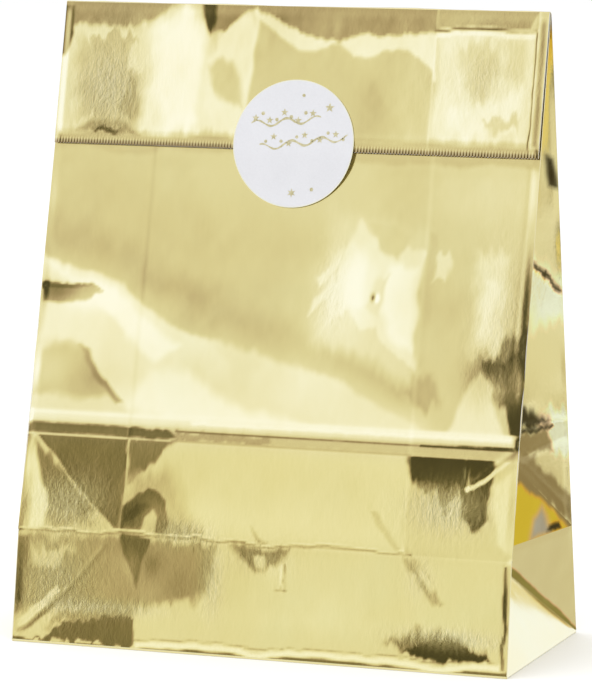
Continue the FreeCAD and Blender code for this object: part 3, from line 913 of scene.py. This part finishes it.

# painted light: what the foil keeps of red, green and blue, as painted shade, painted reflections of other
# folds and a painted highlight
# painted dark shade and painted shade; a painted deep gold and a painted silvery reflection of other folds
PAINTED_DARK_SHADE, SHADE, PAINTED_GOLD_REFLECTION, PAINTED_SILVER_REFLECTION = (0.10, 0.09, 0.07), (0.46, 0.40, 0.34), (1.34, 0.92, 0.17), (0.66, 0.70, 1.1)
# a painted cream highlight, and a painted dull tan reflection
LIT, PAINTED_DULL_REFLECTION = (1.75, 1.46, 1.70), (1.48, 1.08, 1.17)

# painted highlights, and painted shade in the creases and dents of each side's rear part
REAR_PAINTED_LIGHT = [
    (LIT, 6, 3, [(-2, 180), (3, 178), (18, 190), (22, 176), (18, 156), (-2, 158)]),
    (PAINTED_DARK_SHADE, 1.0, 1.5, [(-1, 171), (2, 171), (16, 184), (15, 187), (8, 181)]),
    (PAINTED_DARK_SHADE, 1.5, 0.5, [(1, 224), (7, 226), (6, 240), (2, 238)]),
    (LIT, 3.5, 4, [(-2, 88), (8, 90), (16, 100), (18, 113), (-2, 112)]),
    (SHADE, 1.5, 2, [(-1, 52), (4, 58), (22, 76), (38, 92), (48, 104), (34, 104), (24, 92), (10, 78),
        (-1, 68)]),
    (PAINTED_DARK_SHADE, 2.5, 2, [(10, 106), (34, 106), (34, 118), (22, 114), (12, 110)]),
    (SHADE, 1.5, 1, [(9, 93), (36, 93), (36, 103), (12, 104)]),
    (PAINTED_DARK_SHADE, 0.6, 0.5, [(8, 103.5), (36, 103.5), (36, 105.5), (8, 105)]),
    (SHADE, 2, 2, [(19, 80), (36, 76), (36, 92), (20, 92)]),
]
# painted deep gold reflection over the kite, painted shade along its long edge and at the base crease, and a
# painted silvery reflection
KITE_PAINTED_LIGHT = [
    (PAINTED_GOLD_REFLECTION, 2, 0, block(-5, 60, 40, 120)),
    (SHADE, 1.6, 1, [(-3, 50), (3, 53), (22, 70), (40, 86), (52, 96), (56, 112), (-3, 58)]),
    (PAINTED_SILVER_REFLECTION, 2.8, 0.6, [(14, 52), (27, 52), (25, 61), (20, 65), (17, 60)]),
    (PAINTED_DARK_SHADE, 0.9, 0.5, [(7, 53), (17, 53), (15, 56), (9, 56.5)]),
]
# painted dull tan reflection over the rear corner, and painted shade along its crease
CORNER_PAINTED_LIGHT = [
    (PAINTED_DULL_REFLECTION, 3, 0, block(-5, 60, -5, 60)),
    ((0.42, 0.40, 0.2), 0.7, 0.3, [(-2, -4), (58, 56), (55, 58), (30, 35), (12, 16), (-1, 1)]),
]


def rear_lean(x, s):
    return 1.5 * crinkle(x, s, 30, 64)


REAR_CREASES = [
    ((0, 106), (53, 106), 1.6, -1.6), ((0, 100), (30, 92), 2.4, 1.5), ((1, 172), (17, 187), 1.8, 1.1),
]
REAR_DENTS = [
    ((9, 112), (9, 6), 1.4), ((22, 112), (9, 5), -1.4), ((10, 172), (8, 10), 0.9), ((4, 230), (4, 9), -0.7),
]


def rear_relief(x, s):
    body = ridges(x, s, REAR_CREASES, 1.2 * crinkle(x, s, 38, 51, 2))
    body = mounds(x, s, REAR_DENTS, body) + ridge(x, s, (0, 60), (40, 98), 2.2, -0.4)
    return body * rise(x, 0, 3) * rise(53 - x, 0, 6) * rise(300 - s, 0, 60)


def rear_crumple(x, s):
    return np.clip(mounds(x, s, [((15, 104), (26, 18), 0.8), ((10, 175), (14, 16), 0.5)], 0.15), 0, 1)


def quiet_relief(x, s):
    return 0.35 * crinkle(x, s, 30, 81)


def kite_relief(x, s):
    """The small folded facet above the base crease, with a dent beside its back corner."""
    return mounds(x, s, [((18, 58), (5, 4), -0.6), ((12, 66), (4, 5), 0.5)], 0.25 * crinkle(x, s, 16, 83))


def build_sides():
    front_foot, rear_foot, front_half = (wide(p, 1) for p in (FRONT_FOOT, REAR_FOOT, HALF_CREASE))
    gap = FLAP_OUT * -LAYER_GAP
    tops = {"front": wide(TOP + gap, 1), "rear": wide(TOP + gap * 2, 1)}
    pleats = {"front": PLEAT_TOP + gap, "rear": PLEAT_TOP + gap * 2}
    half, high = LOWER_LENGTH, FRONT_LENGTH
    depth = 2 * half
    panels = [
        ("gusset_rear", "gusset_rear_sheet", "back",
         (rear_relief, rear_lean, rear_crumple, painted_light_over(REAR_PAINTED_LIGHT, 61)),
         [FOLD_POINT, REAR_HALF, tops["rear"], pleats["rear"]],
         [(half, depth), (0, half), (0, high), (half, high)]),
        (None, "gusset_kite", "back", (kite_relief, None, rear_crumple, painted_light_over(KITE_PAINTED_LIGHT, 67)),
         [APEX, REAR_HALF, FOLD_POINT], [(half, half), (0, half), (half, depth)]),
        (None, "gusset_rear_corner", "back", (quiet_relief, None, None, painted_light_over(CORNER_PAINTED_LIGHT, 69, 0.5)),
         [APEX, rear_foot, REAR_HALF], [(half, half), (0, 0), (0, half)]),
        ("gusset_front", "gusset_front_sheet", "back", (quiet_relief, None, None, None),
         [front_half, FOLD_POINT, pleats["front"], tops["front"]],
         [(0, half), (half, depth), (half, high), (0, high)]),
        (None, "gusset_front_kite", "back", (None, None, None, None),
         [front_half, APEX, FOLD_POINT], [(0, half), (half, half), (half, depth)]),
        ("front_corner_fold", "front_corner_sheet", "lower_front", (quiet_relief, None, None, None),
         [front_foot, APEX, front_half], [(0, 0), (half, half), (0, half)]),
        ("base_triangle", "base_triangle_sheet", "base_triangle_right_panel",
         (triangle_relief, None, None, None),
         [front_foot, rear_foot, APEX], [(0, 0), (2 * half, 0), (half, half)]),
    ]
    for node, name, body, looks, points, places in panels:
        for side in ("right", "left"):
            if side == "left":
                points, places = flipped(points, places)
                body = body.replace("_right_", "_left_")
            build_panel(node and node + "_" + side, name + "_" + side, body, looks, points, places)


def build_panel(node, name, body, looks, points, places):
    relief, lean, crumple, painted_light = looks
    if len(points) == 4:
        piece = sheet(name, points, places, relief, lean, crumple=crumple, painted_light=painted_light, step=(1.5, 1.5))
    else:
        piece = triangle_sheet(name, points, places, relief, lean, crumple, painted_light)
    if body.startswith("base_triangle"):
        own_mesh(piece)
    elif body == "back":
        flatten(piece, REAR_FOOT, BACK_TOP, SIDE_KEEP, REAR_LIFT)
    elif body == "lower_front":
        flatten(piece, FRONT_FOOT, HALF_CREASE, SIDE_KEEP, CORNER_LIFT)
    place(piece, body, *([node] if node else []))


def triangle_relief(x, s):
    return 0.3 * crinkle(x, s, 30, 85) + mound(x, s, (53, 16), (30, 12), 0.8)


# ---- back wall
def back_relief(x, s):
    """x runs to the left of someone behind the bag. The base's fold and the side pleats print through."""
    body = 0.9 * crinkle(x, s, 90, 23, 2) + 0.12 * crinkle(x, s, 22, 25)
    pleat = 0.05 * rise(np.abs(x), PLEAT - 0.7, PLEAT + 0.7)
    creases = ridges(x, s, [((-124, 2), (-80, 46), 1.0, 0.12), ((60, 120), (110, 150), 2.0, 0.3),
                            ((-122, 160), (-92, 190), 1.6, 0.25), ((70, 52), (122, 10), 1.2, 0.15)])
    calm = rise(EDGE - np.abs(x), 0, 5) * rise(s, 0, 8) * rise(300 - s, 0, 10)
    return (body + creases + pleat) * calm


BACK_FACETS = [
    (3, 10, 2, [(126, 60), (30, 90), (-40, 160), (-126, 190), (-126, 310), (126, 310)]),
    (-4, 8, 3, [(126, 180), (20, 200), (-30, 250), (-126, 270), (-126, 310), (126, 310)]),
    (6, 4, 2, [(-126, 0), (-60, 0), (-90, 60), (-126, 90)]),
    (-7, 5, 3, [(60, 20), (118, 10), (110, 70), (76, 80)]),
    (5, 5, 3, [(-30, 60), (20, 40), (40, 90), (-10, 120)]),
]


def back_lean(x, s):
    return lean_field(x, s, BACK_FACETS, 27) + 0.5 * crinkle(x, s, 40, 29)


def build_back():
    """Two halves that lap down the middle, the right one outside."""
    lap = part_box("back_wall_left")[1].x
    for side, name, x_inner, lift in ((-1, "left", lap, 0.0), (1, "right", -lap, PAPER)):
        out = Vector((0, -BACK_UP.z, BACK_UP.y)) * -lift
        low_in, high_in = (Vector((x_inner, p.y, p.z)) + out for p in (REAR_FOOT, BACK_TOP))
        low_out, high_out = wide(REAR_FOOT, side) + out, wide(BACK_TOP, side) + out
        outer, inner = side * EDGE, x_inner / MM
        high = (BACK_TOP - REAR_FOOT).length / MM
        corners = [low_out, low_in, high_in, high_out] if side > 0 else [low_in, low_out, high_out, high_in]
        places = [(outer, 0), (inner, 0), (inner, high), (outer, high)]
        if side < 0:
            places = [places[i] for i in (1, 0, 3, 2)]
        piece = sheet("back_" + name + "_sheet", corners, places, back_relief, back_lean,
                      cut_edge=side > 0, step=(2, 2))
        flatten(piece, REAR_FOOT, BACK_TOP, WALL_KEEP)
        place(piece, "back", "back_wall_" + name)


# ---- glued base
BASE_LIFT, EDGE_INSET = 0.00005, 0.0006


def base_sheet(name, outline, level):
    """A level sheet with its foil facing down. The outline is (x, y) in metres."""
    piece = sheet(name, [Vector((x, y, level)) for x, y in outline], [(x / MM, y / MM) for x, y in outline],
                  lambda x, y: -0.04 + 0.04 * crinkle(x, y, 30, 95), step=(3, 3), cut_edge=True)
    place(piece, "base", name.replace("_sheet", ""))


def build_base():
    for name in ("base_flap_front", "base_flap_rear"):
        low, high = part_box(name)
        outline = [(low.x, high.y), (high.x, high.y), (high.x, low.y), (low.x, low.y)]
        base_sheet(name + "_sheet", outline, low.z + BASE_LIFT)
    for name, side in (("base_tuck_left", -1), ("base_tuck_right", 1)):
        low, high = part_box(name)
        taper = (high.x - low.x) / 2
        left, right = (taper, 0) if side > 0 else (0, taper)
        outline = [(low.x, high.y - left), (high.x, high.y - right),
                   (high.x, low.y + right), (low.x, low.y + left)]
        base_sheet(name + "_sheet", outline, low.z + BASE_LIFT)
    build_base_edges()


def build_base_edges():
    """The rounded creases round the base, from its underside up to each wall."""
    inset = EDGE_INSET
    front, rear = FRONT_FOOT.y, REAR_FOOT.y
    half = BASE_HALF
    runs = [
        ("base_edge_front", "lower_front", (-half, front), (half, front), (0, inset)),
        ("base_edge_rear", "back", (half, rear), (-half, rear), (0, -inset)),
        ("base_edge_right", "base_triangle_right_panel", (half, front), (half, rear), (-inset, 0)),
        ("base_edge_left", "base_triangle_left_panel", (-half, rear), (-half, front), (inset, 0)),
    ]
    for name, body, start, end, inward in runs:
        top = FRONT_FOOT.z
        corners = [Vector((start[0] + inward[0], start[1] + inward[1], BASE_LIFT)),
                   Vector((end[0] + inward[0], end[1] + inward[1], BASE_LIFT)),
                   Vector((end[0], end[1], top)), Vector((start[0], start[1], top))]
        piece = sheet(name, corners, block(0, 1, 0, 1), lambda x, s: 0.25 * np.sin(math.pi * s),
                      lambda x, s: 0 * x + 2, step=(2.5, 0.3))
        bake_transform(piece)
        finish(piece)


# ---- stage
CAMERA_PLACE = Vector((0.7590, -1.9697, 0.4660))
CAMERA_YAW, CAMERA_PITCH, CAMERA_ROLL = 0.3614, 0.1511, -0.0062
CAMERA_LENS, CAMERA_SENSOR, CAMERA_SHIFT, CAMERA_REACH = 233.9, 36, (-0.0362, -0.008), 50
STUDIO = [  # azimuth in degrees, 0 in front and 90 to the right, and the light that comes from there
    (-180, (0.86, 0.90, 0.98)), (-160, (0.66, 0.64, 0.54)), (-142, (0.80, 0.82, 0.80)),
    (-110, (0.76, 0.77, 0.74)), (-75, (0.98, 1.07, 1.38)), (-52, (1.06, 1.18, 1.85)),
    (-40, (1.06, 1.18, 1.85)), (-34, (0.98, 1.07, 1.42)), (-29, (0.90, 0.95, 1.08)),
    (-25, (0.81, 0.84, 0.83)), (-22, (0.77, 0.79, 0.73)), (-18, (0.69, 0.67, 0.59)),
    (-14, (0.46, 0.38, 0.34)), (-10, (0.25, 0.225, 0.14)), (-5, (0.06, 0.055, 0.03)),
    (4, (0.06, 0.055, 0.03)), (10, (0.36, 0.34, 0.26)), (18, (0.66, 0.64, 0.57)), (40, (0.80, 0.82, 0.78)),
    (62, (0.76, 0.77, 0.72)), (78, (0.68, 0.67, 0.58)), (95, (0.58, 0.54, 0.45)), (112, (0.64, 0.62, 0.53)),
    (135, (0.78, 0.79, 0.76)), (150, (1.0, 1.1, 1.5)), (166, (1.0, 1.1, 1.5)), (180, (0.86, 0.90, 0.98)),
]
CEILING = (0.95, 1.01, 1.22)
GROUND = (0.86, 0.89, 0.92)
UPWARD, DOWNWARD = (0.62, 0.85), (-0.28, -0.5)      # a direction's height where ceiling and ground fade in
FLOOR_HALF, FLOOR_WHITE = 12.0, (0.985, 0.985, 0.985, 1)
LAMP_SIZE, LAMP_ENERGY, LAMP_PLACE = 2.2, 18, (-0.3, -0.4, 2.2)


def build_world():
    world = bpy.data.worlds.new("studio")
    bpy.context.scene.world = world
    world.use_nodes = True
    n = Nodes(world.node_tree)
    direction = n.add("ShaderNodeTexCoord").outputs["Generated"]
    parts = n.add("ShaderNodeSeparateXYZ", {0: direction}).outputs
    azimuth = n.math("ARCTAN2", parts["X"], n.math("MULTIPLY", parts["Y"], -1.0))
    around = n.math("MULTIPLY_ADD", azimuth, 0.5 / math.pi, 0.5)
    walls = n.ramp(around, [((a + 180) / 360, c) for a, c in STUDIO])
    ceiling, below = (n.add("ShaderNodeMapRange", {"Value": parts["Z"], "From Min": start, "From Max": end},
                            interpolation_type="SMOOTHSTEP").outputs[0] for start, end in (UPWARD, DOWNWARD))
    studio = n.mix(ceiling, walls, (*CEILING, 1))
    studio = n.mix(below, studio, (*GROUND, 1))
    mirrored = n.add("ShaderNodeLightPath").outputs["Is Glossy Ray"]
    white = n.add("ShaderNodeBackground", {"Color": (1, 1, 1, 1), "Strength": 1.0})
    lit = n.add("ShaderNodeBackground", {"Color": studio, "Strength": 1.0})
    mix = n.add("ShaderNodeMixShader", {0: mirrored, 1: white.outputs[0], 2: lit.outputs[0]})
    n.add("ShaderNodeOutputWorld", {"Surface": mix.outputs[0]})


def build_floor():
    corners = [(x, y, 0) for x, y in block(-FLOOR_HALF, FLOOR_HALF, -FLOOR_HALF, FLOOR_HALF)]
    floor = mesh_piece("floor", corners, [(0, 1, 2, 3)], [])
    material, n = new_material("floor")
    shader = n.add("ShaderNodeBsdfDiffuse", {"Color": FLOOR_WHITE})
    n.add("ShaderNodeOutputMaterial", {"Surface": shader.outputs[0]})
    floor.data.materials.append(material)
    floor.visible_glossy = False


def build_light():
    lamp = bpy.data.lights.new("overhead", "AREA")
    lamp.shape = "RECTANGLE"
    lamp.size = lamp.size_y = LAMP_SIZE
    lamp.energy = LAMP_ENERGY
    light = bpy.data.objects.new("overhead", lamp)
    light.location = LAMP_PLACE
    light.rotation_euler = (-light.location).to_track_quat("-Z", "Y").to_euler()
    light.visible_glossy = False
    bpy.context.scene.collection.objects.link(light)


def build_camera():
    camera = bpy.data.objects.new("camera", bpy.data.cameras.new("camera"))
    camera.data.lens = CAMERA_LENS
    camera.data.sensor_width = CAMERA_SENSOR
    camera.data.shift_x, camera.data.shift_y = CAMERA_SHIFT
    cy, sy, cp, sp = (turn(a) for a in (CAMERA_YAW, CAMERA_PITCH) for turn in (math.cos, math.sin))
    forward = Vector((-sy * cp, cy * cp, -sp))
    right = Vector((cy, sy, 0))
    up = right.cross(forward)
    cr, sr = math.cos(CAMERA_ROLL), math.sin(CAMERA_ROLL)
    turned = Matrix((right * cr + up * sr, up * cr - right * sr, -forward)).transposed()
    camera.matrix_world = Matrix.Translation(CAMERA_PLACE) @ turned.to_4x4()
    camera.data.clip_end = CAMERA_REACH
    bpy.context.scene.collection.objects.link(camera)
    bpy.context.scene.camera = camera
    bpy.context.scene.view_settings.view_transform = "Standard"


build_front()
build_flap()
build_top_fold()
build_seal()
build_print()
build_sides()
build_back()
build_base()
build_world()
build_floor()
build_light()
build_camera()
